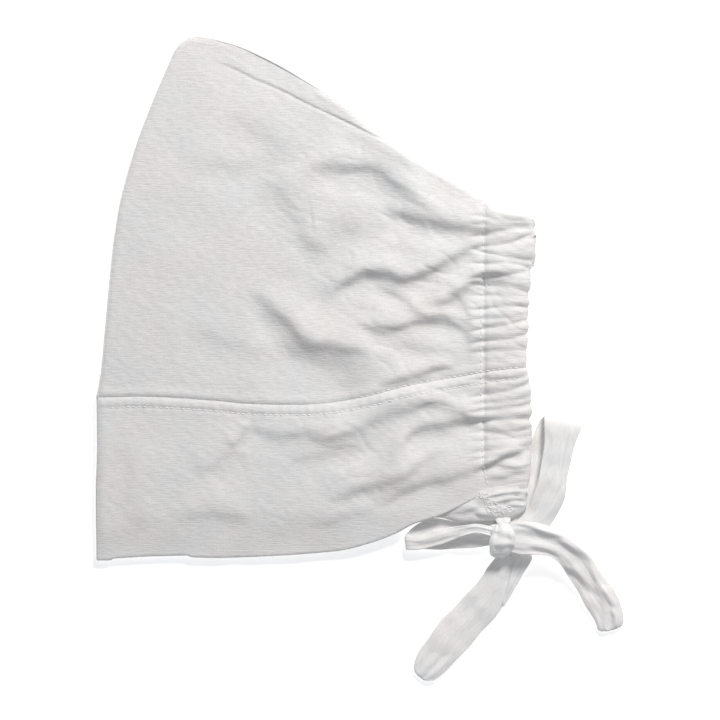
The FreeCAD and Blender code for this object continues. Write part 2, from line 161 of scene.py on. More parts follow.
BAND_FOLDS = [
    (1.8, 5.0, [(-12, -74.5), (0.4, -72.4), (12, -70), (22.1, -68), (30.8, -62.4), (40, -57.8), (56, -53.6),
                (70, -51.5)]),
    (1.2, 3.0, [(46, -56.4), (56, -54.6), (64, -55), (70, -57.4), (78, -60), (88, -58)]),
    (2.1, 4.0, [(40.5, -86), (42.5, -78), (47, -71), (54.7, -66), (66, -63.6), (78.6, -62), (92, -63)]),
    (1.9, 5.0, [(2, -104), (14, -99.5), (26, -95.5), (40, -92), (49, -86), (57, -80.5), (68, -77.5)]),
    (1.9, 4.2, [(28, -107), (40, -100.5), (54, -94), (66, -91), (77, -88.4), (84, -84.6), (94, -79.6),
                (107, -75)]),
    (1.7, 3.4, [(62, -104.5), (72, -100.5), (80, -97.6), (86, -94.4), (91, -91), (98, -89.4)]),
    (1.0, 2.6, [(-42, -76), (-37, -70), (-31, -62.5)]),
    (0.9, 5.0, [(-58, -92), (-50, -85), (-42, -78), (-34, -75)]),
    (0.9, 5.0, [(-72, -114), (-62, -111), (-52, -108.4), (-42, -110.6), (-30, -113)]),
    (0.8, 4.0, [(-14, -84), (-2, -80), (12, -77), (26, -77)]),
    (0.8, 4.0, [(-4, -116), (10, -112), (22, -109), (32, -107)]),
    (0.6, 5.5, [(-96, -70), (-92, -86), (-93, -104), (-90, -120)]),
    (0.8, 3.4, [(-32, -66), (-20, -70), (-8, -69), (6, -66.5)]),
    (2.1, 1.7, [(78, -88), (84, -85), (95.7, -80.2), (109, -75.6)]),
    (1.4, 1.5, [(88, -83.6), (93.8, -85.4), (100, -85.2), (109.5, -82.6)]),
    (1.8, 1.7, [(84, -91.4), (89, -91), (93.8, -90), (98.4, -88.2), (108, -86.6)]),
    (1.4, 1.7, [(84, -97.6), (93, -94.4), (100, -92.8), (108, -92.2)]),
]
FOLD_STRENGTH = 1.2
FOLD_RUN_IN = 0.28           # share of a fold over which it fades in, and out again
# Gathers of the hem: y at the hem row, y at the nape edge, depth.
HEM_GATHERS = [(39.6, 37.8, 0.7), (35.6, 35.5, 0.7), (30.2, 33.6, 1.3), (24.6, 29.8, 1.6), (22.0, 17.6, 1.3),
               (15.8, 14.2, 1.5), (9.4, 12.2, 1.4), (5.2, 1.8, 1.2), (0.2, -0.6, 0.9), (-6.8, -6.0, 1.4),
               (-11.4, -9.0, 0.8), (-16.4, -11.4, 1.3), (-22.6, -18.6, 1.2), (-28.0, -27.2, 0.8),
               (-41.5, -39.0, 1.0), (-49.0, -43.2, 1.4), (-53.2, -50.0, 0.9), (-57.0, -53.8, 1.3),
               (-62.6, -61.4, 1.5), (-67.6, -66.2, 1.1), (-72.0, -69.6, 0.8), (-77.5, -74.6, 1.2),
               (-81.0, -76.6, 1.0)]
GATHER_STRENGTH = 1.2
GATHER_WIDTH = 1.5
GATHER_START_X = 74.0        # the gathers run out into the cap about here


def smooth(t):
    t = np.clip(t, 0.0, 1.0)
    return t * t * (3 - 2 * t)


def curve(points, count):
    """count points, evenly spaced along a smooth curve through the given points."""
    p = np.array(points, float)
    ends = np.vstack([2 * p[0] - p[1], p, 2 * p[-1] - p[-2]])
    steps = np.linspace(0, 1, 16, endpoint=False)[:, None]
    pieces = []
    for a, b, c, d in zip(ends, ends[1:], ends[2:], ends[3:]):
        pieces.append(0.5 * (2 * b + (c - a) * steps + (2 * a - 5 * b + 4 * c - d) * steps ** 2
                             + (3 * b - a - 3 * c + d) * steps ** 3))
    dense = np.vstack(pieces + [p[-1:]])
    length = np.concatenate([[0], np.cumsum(np.linalg.norm(np.diff(dense, axis=0), axis=1))])
    at = np.linspace(0, length[-1], count)
    return np.column_stack([np.interp(at, length, dense[:, k]) for k in range(dense.shape[1])])


def measure(line, x, y):
    """Signed distance from a line of points, positive on its left, and the share of the way along it."""
    nearest = np.full(x.shape, 1e9)
    signed = np.zeros(x.shape)
    share = np.zeros(x.shape)
    for i in range(len(line) - 1):
        ax, ay = line[i][:2]
        dx, dy = line[i + 1][0] - ax, line[i + 1][1] - ay
        length = math.hypot(dx, dy)
        t = np.clip(((x - ax) * dx + (y - ay) * dy) / length ** 2, 0, 1)
        distance = np.hypot(x - ax - t * dx, y - ay - t * dy)
        closer = distance < nearest
        nearest = np.where(closer, distance, nearest)
        side = np.sign(dx * (y - ay) - dy * (x - ax))
        signed = np.where(closer, distance * side, signed)
        share = np.where(closer, (i + t) / (len(line) - 1), share)
    return signed, share


def distance(line, x, y):
    return np.abs(measure(line, x, y)[0])


def ends(share):
    """Fades a fold in and out at its ends."""
    return smooth(share / FOLD_RUN_IN) * smooth((1 - share) / FOLD_RUN_IN)


def fold(line, depth, width, x, y):
    """A crease: a crisp ridge on its left, a steep side on the line and a shallow trough on its right."""
    signed, share = measure(line, x, y)
    full = ends(share)
    reach = width * (0.6 + 0.4 * full)
    step = 0.5 + 0.5 * np.tanh(signed / (0.5 * reach))
    ridge = step * np.exp(-(np.maximum(signed - 0.5 * reach, 0) / (2.2 * reach)) ** 2)
    trough = 0.55 * np.exp(-((signed + 1.3 * reach) / (1.5 * reach)) ** 2)
    return depth * full * (ridge - trough)


def creased(creases, x, y, count=24):
    """The sum of some folds, each given as its depth, half width and points."""
    return sum(fold(curve(points, count), depth, width, x, y) for depth, width, points in creases)


def ripples(x, y, seed, wavelength, heading, spread, waves=9):
    """Random soft waves whose crests run mostly along heading, in degrees. About 1 high at most."""
    rng = np.random.default_rng(seed)
    total = np.zeros_like(x)
    for _ in range(waves):
        across = math.radians(heading + 90 + rng.normal(0, spread))
        number = 2 * math.pi / (wavelength * rng.uniform(0.7, 1.5))
        bend = rng.uniform(0.6, 1.4) * np.sin(2 * math.pi * (x * rng.uniform(0.4, 1) + y) / (4.2 * wavelength)
                                              + rng.uniform(0, 6.28))
        total += np.sin(number * (x * math.cos(across) + y * math.sin(across)) + bend + rng.uniform(0, 6.28))
    return total / math.sqrt(waves)


# ---------------------------------------------------------------- the upper side as one height field

seam_line = curve(BAND_SEAM, 90)
rolled_seam_line = curve(ROLLED_SEAM, 60)
top_edge_line = curve(TOP_EDGE, 160)
front_line = curve(FRONT_EDGE, 40)
closed_line = np.vstack([front_line, top_edge_line[1:]])
hem_line = np.vstack([curve(HEM_EDGE_BAND, 60), curve(HEM_EDGE_CROWN, 50)[1:]])
face_line = curve(FACE_EDGE, 90)
fold_line = np.array([(FOLD_X, FACE_Y - 2), (FOLD_X, BAND_SEAM[0][1] + 1)])
fold_curves = [(depth, width, curve(points, 26)) for depth, width, points in CROWN_FOLDS + BAND_FOLDS]

FACE_HEIGHTS = [(-110, 4.3), (-40, 4.4), (8, 5.0), (34, 6.6), (50, 8.6), (76, 9.4), (106, 10.4)]


def rounded(d, reach):
    """0 at an edge and 1 beyond reach, with an upright start, as cloth turns over an edge."""
    return np.sqrt(np.clip(1 - (1 - np.clip(d / reach, 0, 1)) ** 2, 0, 1))


def gathers(x, y):
    """Hem gathers, deepest at the hem row and the nape edge."""
    total = np.zeros_like(x)
    lead = smooth((x - GATHER_START_X) / 9)
    along = np.clip((x - HEM_SEAM_X) / (HEM_X - HEM_SEAM_X), -0.4, 1.1)
    in_tunnel = smooth((x - HEM_SEAM_X) / 3)
    body = lead * (0.75 + 0.25 * np.cos(2 * math.pi * np.clip(along, 0, 1)))
    for low_y, edge_y, depth in HEM_GATHERS:
        bow = 1.3 * math.sin(low_y * 1.7) * np.sin(math.pi * np.clip(along, 0, 1))
        centre = low_y + (edge_y - low_y) * along + bow
        width = GATHER_WIDTH * (0.8 + 0.35 * in_tunnel)
        total -= depth * body * np.exp(-np.abs((y - centre) / width) ** 1.5)
    fine = np.sin(2 * math.pi * (y + 1.3 * np.sin(x / 5) + 2.6 * np.sin(y / 7.3)) / 4.3)
    return GATHER_STRENGTH * total + 0.07 * lead * fine


def edge_height(x):
    """Height at which the two sides meet along the closed edges."""
    return EDGE_MID + (BACK_MID - EDGE_MID) * smooth((x + 70) / 60)


def hem_open(y):
    """1 where the hem is open and 0 at its top corner, where it bends over from one side to the other."""
    return smooth((39 - y) / 11)


def plateau(x):
    """Height of the upper side before folds: low by the forehead and higher near the nape."""
    return FLAT_TOP + (NAPE_TOP - FLAT_TOP) * smooth((x + 30) / 95)


def fine_creases(x, y, seed, wavelength, heading):
    """Thin broken creases that run along heading."""
    wave = ripples(x, y, seed, wavelength, heading, 30)
    broken = smooth((ripples(x, y, seed + 50, 2.2 * wavelength, heading, 60) + 0.1) / 0.9)
    return -broken * np.exp(-(wave / 0.34) ** 2)


def wrinkles(x, y):
    total = np.zeros_like(x)
    bent_x = x + 0.5 * ripples(x, y, 101, 19, 0, 90)
    bent_y = y + 0.45 * ripples(x, y, 102, 17, 0, 90)
    for depth, width, line in fold_curves:
        low, high = line.min(0) - 5 * width, line.max(0) + 5 * width
        near = (x > low[0]) & (x < high[0]) & (y > low[1]) & (y < high[1])
        total[near] += fold(line, FOLD_STRENGTH * depth, width, bent_x[near], bent_y[near])
    nape = smooth((x + 55) / 110)
    total += (0.12 + 0.34 * nape) * ripples(x, y, 3, 36, -18, 30)
    total += (0.05 + 0.36 * nape) * fine_creases(x, y, 8, 17, -12)
    total += 0.05 * ripples(x, y, 5, 5.5, 0, 50)
    return total


def seam_relief(x, y):
    """The band seam: a crease at the seam and a low ridge over its turned allowance."""
    signed, _ = measure(seam_line, x, y)
    ridge = (0.5 + 0.35 * smooth(x / 80)) * np.exp(-((signed + 3.2) / 3.0) ** 2)
    crease = -0.6 * np.exp(-(signed / 0.8) ** 2)
    row = -0.45 * np.exp(-((signed + ROW_OFFSETS[1]) / 0.8) ** 2)
    shoulder = 0.4 * np.exp(-((signed - 2.4) / 2.0) ** 2)
    pucker = 0.13 * np.sin(2 * math.pi * x / 4.7 + 2 * np.sin(x / 17)) * np.exp(-((signed + 3.6) / 3.2) ** 2)
    return ridge + crease + row + shoulder + pucker


def rolled_seam(x, y):
    """The step up from the upper panel to the rolled-over cloth of the lower one, fading at both ends."""
    signed, share = measure(rolled_seam_line, x, y)
    shown = smooth(share / 0.16) * smooth((1 - share) / 0.04)
    step = 0.5 + 0.5 * np.tanh(signed / 0.45)
    groove = np.exp(-((signed + 0.4) / 0.7) ** 2)
    return shown * (0.5 * step * np.exp(-(np.maximum(signed, 0) / 11) ** 2) - 0.42 * groove)


def upper_height(x, y):
    """Outer surface of the upper side."""
    z = plateau(x) + wrinkles(x, y) + seam_relief(x, y) + rolled_seam(x, y)
    z += gathers(x, y)
    into_hem = np.clip((x - HEM_SEAM_X) / (HEM_X - HEM_SEAM_X), 0, 1)
    z += HEM_PUFF * np.sin(math.pi * into_hem) ** 0.8
    z -= 1.3 * np.exp(-((x - HEM_SEAM_X) / 1.4) ** 2)
    face_x, face_z = zip(*FACE_HEIGHTS)
    edge_z = np.interp(x, face_x, face_z) + 0.35 * ripples(x, y, 12, 26, 80, 20, 4)
    from_face = distance(face_line, x, y)
    z = edge_z + (z - edge_z) * smooth(from_face / 24 + 0.06)
    from_closed = distance(closed_line, x, y)
    z -= EDGE_SINK * (1 - smooth(from_closed / 34))
    z = edge_height(x) + (z - edge_height(x)) * rounded(from_closed, TOP_ROLL)
    from_fold = distance(fold_line, x, y)
    z = EDGE_MID + (z - EDGE_MID) * rounded(from_fold, 5.0)
    turn_height = edge_height(x) + (HEM_MID - edge_height(x)) * hem_open(y)
    return turn_height + (z - turn_height) * rounded(distance(hem_line, x, y), HEM_ROLL)


# ---------------------------------------------------------------- mesh builders

def coons(bottom, top, left, right, rows, columns, crowd=1.0):
    """A grid of x, y points that fills four boundary curves. crowd above 1 packs rows towards the top."""
    u = np.linspace(0, 1, columns)
    v = 1 - (1 - np.linspace(0, 1, rows)) ** crowd
    b, t = curve(bottom, columns), curve(top, columns)
    left_side, right_side = curve(left, 400), curve(right, 400)
    dense = np.linspace(0, 1, 400)
    sides = [np.column_stack([np.interp(v, dense, side[:, k]) for k in (0, 1)])
             for side in (left_side, right_side)]
    uu, vv = u[None, :, None], v[:, None, None]
    grid = (1 - vv) * b[None] + vv * t[None] + (1 - uu) * sides[0][:, None] + uu * sides[1][:, None]
    corners = ((1 - uu) * (1 - vv) * b[0] + uu * (1 - vv) * b[-1] + (1 - uu) * vv * t[0] + uu * vv * t[-1])
    return grid - corners


def lift(flat_grid, height):
    x, y = flat_grid[..., 0], flat_grid[..., 1]
    return np.dstack([x, y, height(x, y)])


def scallop(grid):
    """Draws the nape edge in at each gather."""
    x, y = grid[..., 0], grid[..., 1]
    drawn = grid.copy()
    drawn[..., 0] += 0.75 * gathers(x, y) * smooth((x - HEM_SEAM_X - 8) / 16)
    return drawn


def grid_normals(grid):
    along = np.gradient(grid, axis=1)
    up = np.gradient(grid, axis=0)
    normal = np.cross(along, up)
    size = np.linalg.norm(normal, axis=2, keepdims=True)
    return normal / np.maximum(size, 1e-9)


def make_mesh(name, points, faces, material, uv=None):
    mesh = bpy.data.meshes.new(name)
    mesh.from_pydata((np.asarray(points) * MM).tolist(), [], faces)
    mesh.validate()
    mesh.polygons.foreach_set("use_smooth", [True] * len(mesh.polygons))
    if uv is not None:
        layer = mesh.uv_layers.new(name="UVMap")
        corner = np.empty(len(mesh.loops), int)
        mesh.loops.foreach_get("vertex_index", corner)
        layer.data.foreach_set("uv", (np.asarray(uv)[corner] * MM).ravel())
    mesh.materials.append(material)
    obj = bpy.data.objects.new(name, mesh)
    bpy.context.scene.collection.objects.link(obj)
    return obj


def quads(rows, columns, first=0, flip=False):
    index = first + np.arange(rows * columns).reshape(rows, columns)
    a, b = index[:-1, :-1].ravel(), index[:-1, 1:].ravel()
    c, d = index[1:, 1:].ravel(), index[1:, :-1].ravel()
    order = (a, d, c, b) if flip else (a, b, c, d)
    return np.column_stack(order).tolist()


def boundary(rows, columns):
    """Indices round the edge of a grid, counter-clockwise."""
    index = np.arange(rows * columns).reshape(rows, columns)
    return np.concatenate([index[0, :-1], index[:-1, -1], index[-1, :0:-1], index[:0:-1, 0]])


RIM_STEPS = 3


def sheet(name, outer, thickness, material, uv=None, outward=1.0):
    """Closed cloth of the given thickness behind an outer surface, with rounded edges."""
    rows, columns = outer.shape[:2]
    normal = grid_normals(outer) * outward
    inner = outer - normal * thickness
    ring = boundary(rows, columns)
    flat_outer, flat_inner = outer.reshape(-1, 3), inner.reshape(-1, 3)
    middle = (flat_outer[ring] + flat_inner[ring]) / 2
    tangent = np.roll(flat_outer[ring], -1, axis=0) - np.roll(flat_outer[ring], 1, axis=0)
    out = np.cross(tangent, normal.reshape(-1, 3)[ring]) * outward
    out /= np.maximum(np.linalg.norm(out, axis=1, keepdims=True), 1e-9)
    points = [flat_outer, flat_inner]
    half = (flat_outer[ring] - flat_inner[ring]) / 2
    for step in range(1, RIM_STEPS + 1):
        turn = math.pi * step / (RIM_STEPS + 1)
        points.append(middle + half * math.cos(turn) + out * math.sin(turn) * thickness / 2)
    count = rows * columns
    faces = quads(rows, columns, 0, outward < 0) + quads(rows, columns, count, outward > 0)
    rims = [2 * count + i * len(ring) + np.arange(len(ring)) for i in range(RIM_STEPS)]
    loops = [ring] + rims + [ring + count]
    for near, far in zip(loops, loops[1:]):
        a, b, c, d = near, np.roll(near, -1), np.roll(far, -1), far
        order = (b, a, d, c) if outward > 0 else (a, b, c, d)
        faces += np.column_stack(order).tolist()
    if uv is None:
        uv = outer[..., :2]
    flat_uv = uv.reshape(-1, 2)
    all_uv = np.vstack([flat_uv, flat_uv] + [flat_uv[ring]] * RIM_STEPS)
    return make_mesh(name, np.vstack(points), faces, material, all_uv)


def hem_return(grid, down):
    """Adds the columns that turn a hem in at its nape edge: down is -1 for the upper hem, +1 for the
    lower."""
    edge = grid[:, -1]
    inner_x = HEM_SEAM_X + 1.5
    radius = HEM_TURN * (0.12 + 0.88 * hem_open(edge[:, 1]))
    extra = []
    for degrees in (25, 50, 75, 90):
        turn = math.radians(degrees)
        column = edge.copy()
        column[:, 0] -= radius * (1 - math.cos(turn))
        column[:, 2] += down * radius * math.sin(turn)
        extra.append(column)
    for share in np.linspace(0.15, 1, TURN_COLUMNS - 4):
        column = edge.copy()
        column[:, 0] = (edge[:, 0] - radius) * (1 - share) + inner_x * share
        column[:, 2] = edge[:, 2] + down * radius
        extra.append(column)
    return np.concatenate([grid] + [c[:, None] for c in extra], axis=1)


def fold_turn(grid):
    """Adds the columns that roll the band under at the forehead fold."""
    edge = grid[:, 0]
    extra = []
    for degrees in (30, 60, 90):
        turn = math.radians(degrees)
        column = edge.copy()
        column[:, 0] += FOLD_TURN * (1 - math.cos(turn))
        column[:, 2] = EDGE_MID - (EDGE_MID - FOLD_REST) * math.sin(turn)
        extra.append(column)
    return np.concatenate([c[:, None] for c in reversed(extra)] + [grid], axis=1)


def tube_faces(count, around, closed):
    """Faces between count rings of around points. closed joins the last ring to the first."""
    index = np.arange(count * around).reshape(count, around)
    near = index if closed else index[:-1]
    far = np.roll(index, -1, axis=0) if closed else index[1:]
    corners = (near, np.roll(near, -1, axis=1), np.roll(far, -1, axis=1), far)
    return np.column_stack([corner.ravel() for corner in corners]).tolist()


def squared(wave, power):
    """Pushes a sine wave towards a square one, the more the lower the power."""
    return np.sign(wave) * np.abs(wave) ** power


# ---------------------------------------------------------------- materials

def new_material(name):
    material = bpy.data.materials.new(name)
    material.use_nodes = True
    tree = material.node_tree
    return material, tree, tree.nodes["Principled BSDF"]


def node(tree, kind, **inputs):
    made = tree.nodes.new(kind)
    for key, value in inputs.items():
        made.inputs[key.replace("_", " ")].default_value = value
    return made


def scaled(tree, source, scale):
    made = node(tree, "ShaderNodeMapping", Scale=scale)
    tree.links.new(source, made.inputs["Vector"])
    return made.outputs["Vector"]


def pattern(tree, kind, source, bands=None, **inputs):
    """A noise or wave texture over source. bands is the direction of a wave's bands."""
    made = node(tree, kind, **inputs)
    if bands:
        made.bands_direction = bands
    tree.links.new(source, made.inputs["Vector"])
    return made.outputs["Fac"]


def ramp(tree, source, low, low_colour, high, high_colour):
    """Colours a pattern from low_colour, where it is below low, to high_colour, where it is above high."""
    made = tree.nodes.new("ShaderNodeValToRGB")
    for stop, place, colour in zip(made.color_ramp.elements, (low, high), (low_colour, high_colour)):
        stop.position = place
        stop.color = (*colour, 1)
    tree.links.new(source, made.inputs["Fac"])
    return made.outputs["Color"]


def multiplied(tree, base, tone, amount):
    made = tree.nodes.new("ShaderNodeMix")
    made.data_type = "RGBA"
    made.blend_type = "MULTIPLY"
    made.inputs["Factor"].default_value = amount
    tree.links.new(base, made.inputs["A"])
    tree.links.new(tone, made.inputs["B"])
    return made.outputs["Result"]


def bump(tree, height, strength, distance, below=None):
    made = node(tree, "ShaderNodeBump", Strength=strength, Distance=distance)
    tree.links.new(height, made.inputs["Height"])
    if below is not None:
        tree.links.new(below, made.inputs["Normal"])
    return made.outputs["Normal"]


def jersey(name, tint, grain=1.0):
    """Cotton jersey: fine courses and wales, uneven yarn, soft sheen and slight blotches of warm and cool."""
    material, tree, shader = new_material(name)
    link = tree.links.new
    flat = scaled(tree, node(tree, "ShaderNodeTexCoord").outputs["UV"], (1000, 1000, 1000))
    streaked = scaled(tree, flat, (0.20, 1.05, 1))
    yarn = pattern(tree, "ShaderNodeTexNoise", streaked, Scale=1.0, Detail=4.0, Roughness=0.62)
    courses = pattern(tree, "ShaderNodeTexWave", flat, "Y", Scale=0.30, Distortion=1.6, Detail=2.0,
                      Detail_Scale=1.2)
    wales = pattern(tree, "ShaderNodeTexWave", flat, "X", Scale=0.36, Distortion=1.2, Detail=2.0)
    patches = pattern(tree, "ShaderNodeTexNoise", flat, Scale=0.028, Detail=3.0, Roughness=0.6)
    fuzz = pattern(tree, "ShaderNodeTexNoise", flat, Scale=1.3, Detail=3.0, Roughness=0.7)

    red, green, blue = tint
    cool = (red * 0.975, green * 0.99, blue)
    warm = (min(red * 1.015, 1), green * 0.995, blue * 0.985)
    white = (1, 1, 1)
    colour = ramp(tree, patches, 0.36, cool, 0.66, warm)
    colour = multiplied(tree, colour, ramp(tree, yarn, 0.30, (0.84, 0.85, 0.875), 0.62, white), 0.8 * grain)
    colour = multiplied(tree, colour, ramp(tree, fuzz, 0.34, (0.915, 0.915, 0.915), 0.60, white), grain)
    link(colour, shader.inputs["Base Color"])

    knit = tree.nodes.new("ShaderNodeMath")
    knit.operation = "MULTIPLY"
    link(courses, knit.inputs[0])
    link(wales, knit.inputs[1])
    relief = bump(tree, knit.outputs["Value"], 0.10 * grain, 0.0003)
    relief = bump(tree, yarn, 0.5 * grain, 0.0006, relief)
    link(bump(tree, fuzz, 0.25, 0.0003, relief), shader.inputs["Normal"])

    rough = node(tree, "ShaderNodeMapRange", To_Min=0.78, To_Max=0.96)
    link(fuzz, rough.inputs["Value"])
    link(rough.outputs["Result"], shader.inputs["Roughness"])
    shader.inputs["Sheen Weight"].default_value = 0.22
    shader.inputs["Sheen Roughness"].default_value = 0.45
    shader.inputs["Specular IOR Level"].default_value = 0.25
    return material


def ribbed(name, bands, dark, light, strength, depth, roughness, sheen, **wave):
    """A material of fine ribs: painted shade darkens the valleys between them, and their tops keep the light
    tone.
    """
    material, tree, shader = new_material(name)
    place = node(tree, "ShaderNodeTexCoord").outputs["Object"]
    ribs = pattern(tree, "ShaderNodeTexWave", place, bands, **wave)
    # Painted shade: the ramp darkens the rib valleys that the same pattern bumps down.
    tree.links.new(ramp(tree, ribs, 0, dark, 1, light), shader.inputs["Base Color"])
    tree.links.new(bump(tree, ribs, strength, depth), shader.inputs["Normal"])
    shader.inputs["Roughness"].default_value = roughness
    shader.inputs["Sheen Weight"].default_value = sheen
    return material


WHITE = (0.83, 0.815, 0.80)
crown_jersey = jersey("crown_jersey", WHITE)
band_jersey = jersey("band_jersey", WHITE, grain=0.9)
# The ties and roots are the same jersey with lighter tints. The ties' tint is painted light, making up for
# the key light that falls off towards the bow.
tie_jersey = jersey("tie_jersey", (0.94, 0.925, 0.91), grain=0.8)
root_jersey = jersey("root_jersey", (0.875, 0.86, 0.845), grain=0.8)
# Polyester thread is a twisted strand with a slight shine. Knitted elastic has lengthwise ribs. Both have
# painted shade between their twists or ribs.
thread = ribbed("sewing_thread", "DIAGONAL", (0.78, 0.78, 0.80), (0.90, 0.89, 0.88), 0.5, 0.0001, 0.5, 0.1,
                Scale=900.0, Distortion=1.0, Detail=1.0)
elastic = ribbed("elastic_tape", "X", (0.70, 0.70, 0.71), (0.86, 0.86, 0.85), 0.6, 0.0003, 0.8, 0.0,
                 Scale=160.0, Distortion=0.4)

# ---------------------------------------------------------------- placing the upper side and the left root


def lifts(obj):
    """Bakes the placement of a piece of the upper side into its mesh."""
    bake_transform(obj)


def hangs(obj):
    """The left root hangs between the upper side's hem and the knot; this bakes a piece's placement into its
    mesh.
    """
    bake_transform(obj)


def stands_for(obj, cad_node, body=None):
    """Shows obj in place of a CAD node. A body is given when obj rides on one."""
    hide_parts(cad_node)
    if body:
        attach(obj, body)


# ---------------------------------------------------------------- the cap's two sides

def hem_uv(flat):
    """Texture places of a side: its turned-in hem repeats those of the nape edge."""
    return np.concatenate([flat, np.repeat(flat[:, -1:], TURN_COLUMNS, axis=1)], axis=1)


def crown_upper():
    flat = coons(BAND_SEAM, TOP_EDGE, FRONT_EDGE, HEM_EDGE_CROWN, 180, 250, crowd=1.25)
    outer = hem_return(scallop(lift(flat, upper_height)), -1)
    panel = sheet("crown_left_cloth", outer, JERSEY, crown_jersey, hem_uv(flat))
    stands_for(panel, "crown_left_panel")
    lifts(panel)


def band_upper():
    left = [(FOLD_X, FACE_Y - 1.1), (FOLD_X - 0.3, -98), (FOLD_X + 0.3, -74), (FOLD_X, -50.6)]
    flat = coons(FACE_EDGE, BAND_SEAM, left, HEM_EDGE_BAND, 90, 250)
    outer = fold_turn(hem_return(scallop(lift(flat, upper_height)), -1))
    uv = np.concatenate([np.repeat(flat[:, :1], 3, axis=1), hem_uv(flat)], axis=1)
    panel = sheet("band_left_cloth", outer, BAND_CLOTH, band_jersey, uv)
    stands_for(panel, "band_left_half")
    lifts(panel)


def lower_height(x, y):
    """Outer face of the lower side: flat on the table, turned up at the closed edges."""
    rest = 0.25 + 0.18 * (1 + ripples(x, y, 31, 24, 10, 40, 5))
    up = edge_height(x) + 0.4
    z = up + (rest - up) * rounded(distance(lower_closed_line, x, y), EDGE_ROLL)
    low_hem = up + (2.4 - up) * hem_open(y)
    return low_hem + (z - low_hem) * rounded(distance(lower_hem_line, x, y), 3.0)


lower_closed_line = np.vstack([front_line, curve(LOWER_TOP_EDGE, 160)[1:]])
lower_rim_line = curve(LOWER_FACE_EDGE, 80)
lower_hem_line = np.vstack([curve(LOWER_HEM_EDGE_BAND, 50), curve(LOWER_HEM_EDGE_CROWN, 40)[1:]])


def crown_lower():
    flat = coons(LOWER_BAND_SEAM, LOWER_TOP_EDGE, FRONT_EDGE, LOWER_HEM_EDGE_CROWN, 90, 130, crowd=1.25)
    outer = hem_return(lift(flat, lower_height), 1)
    panel = sheet("crown_right_cloth", outer, JERSEY, crown_jersey, hem_uv(flat), outward=-1.0)
    stands_for(panel, "crown_right_panel", "cap")


def band_lower_height(x, y):
    """The lower side's corner by the knot puffs up to meet the upper hem."""
    near_rim = smooth((-y - 94) / 9)
    puff = near_rim * smooth((x - 66) / 20)
    z = lower_height(x, y) + 3.7 * near_rim * smooth((x - 36) / 13) + 1.7 * puff
    return z - 1.6 * puff * np.exp(-(distance(lower_rim_line, x, y) / 1.8) ** 2)


def inside_band(x, y):
    """The face of the lower band that looks into the cap."""
    return band_lower_height(x, y) + BAND_CLOTH


def band_lower():
    left = [(FOLD_X + 1.5, FACE_Y - 0.2), (FOLD_X + 1.2, -90), (FOLD_X + 1.5, -50.6)]
    top = [(FOLD_X + 1.5, -50.6)] + LOWER_BAND_SEAM[1:]
    flat = coons(LOWER_FACE_EDGE, top, left, LOWER_HEM_EDGE_BAND, 60, 130)
    outer = hem_return(lift(flat, band_lower_height), 1)
    panel = sheet("band_right_cloth", outer, BAND_CLOTH, band_jersey, hem_uv(flat), outward=-1.0)
    stands_for(panel, "band_right_half", "cap")


# ---------------------------------------------------------------- stitching

STITCH_SIDES = 8
STITCH_RINGS = 5


def stitch_mesh(name, places, length, width, height):
    """Closed oval stitches. Each place is a point, a heading and an upward direction."""
    points, faces = [], []
    for centre, heading, up in places:
        heading = heading / np.linalg.norm(heading)
        side = np.cross(up, heading)
        side /= np.linalg.norm(side)
        first = len(points)
        points.append(centre - heading * length / 2)
        for ring in range(1, STITCH_RINGS + 1):
            turn = math.pi * ring / (STITCH_RINGS + 1)
            middle = centre - heading * math.cos(turn) * length / 2
            for k in range(STITCH_SIDES):
                a = 2 * math.pi * k / STITCH_SIDES
                size = math.sin(turn) ** 0.6
                points.append(middle + side * math.cos(a) * size * width / 2
                              + up * math.sin(a) * size * height / 2)
        points.append(centre + heading * length / 2)
        last = len(points) - 1
        for k in range(STITCH_SIDES):
            n = (k + 1) % STITCH_SIDES
            faces.append((first, first + 1 + n, first + 1 + k))
            for ring in range(STITCH_RINGS - 1):
                a = first + 1 + ring * STITCH_SIDES
                b = a + STITCH_SIDES
                faces.append((a + k, a + n, b + n, b + k))
            a = first + 1 + (STITCH_RINGS - 1) * STITCH_SIDES
            faces.append((last, a + k, a + n))
    return make_mesh(name, points, faces, thread)


def on_surface(line, height):
    """Points of a line lifted onto a surface, with headings and upward directions."""
    x, y = line[:, 0], line[:, 1]
    z = height(x, y)
    step = 0.4
    slope_x = (height(x + step, y) - height(x - step, y)) / (2 * step)
    slope_y = (height(x, y + step) - height(x, y - step)) / (2 * step)
    up = np.column_stack([-slope_x, -slope_y, np.ones_like(x)])
    up /= np.linalg.norm(up, axis=1, keepdims=True)
    place = np.column_stack([x, y, z])
    return place, np.gradient(place, axis=0), up


def row(points, pitch, height, sink=0.08):
    """Evenly pitched stitches along a curve on a surface."""
    length = np.linalg.norm(np.diff(np.array(points, float), axis=0), axis=1).sum()
    place, heading, up = on_surface(curve(points, max(int(length / pitch), 3)), height)
    return [(p - u * sink, h, u) for p, h, u in zip(place, heading, up)]


def beside_seam(offset, x0, x1):
    """The band seam moved onto the band by offset, between x0 and x1."""
    line = curve(BAND_SEAM, 200)
    heading = np.gradient(line, axis=0)
    heading /= np.linalg.norm(heading, axis=1, keepdims=True)
    moved = line + np.column_stack([heading[:, 1], -heading[:, 0]]) * offset
    kept = moved[(moved[:, 0] > x0) & (moved[:, 0] < x1)]
    return kept[::6]


STITCH_PITCH = 2.7


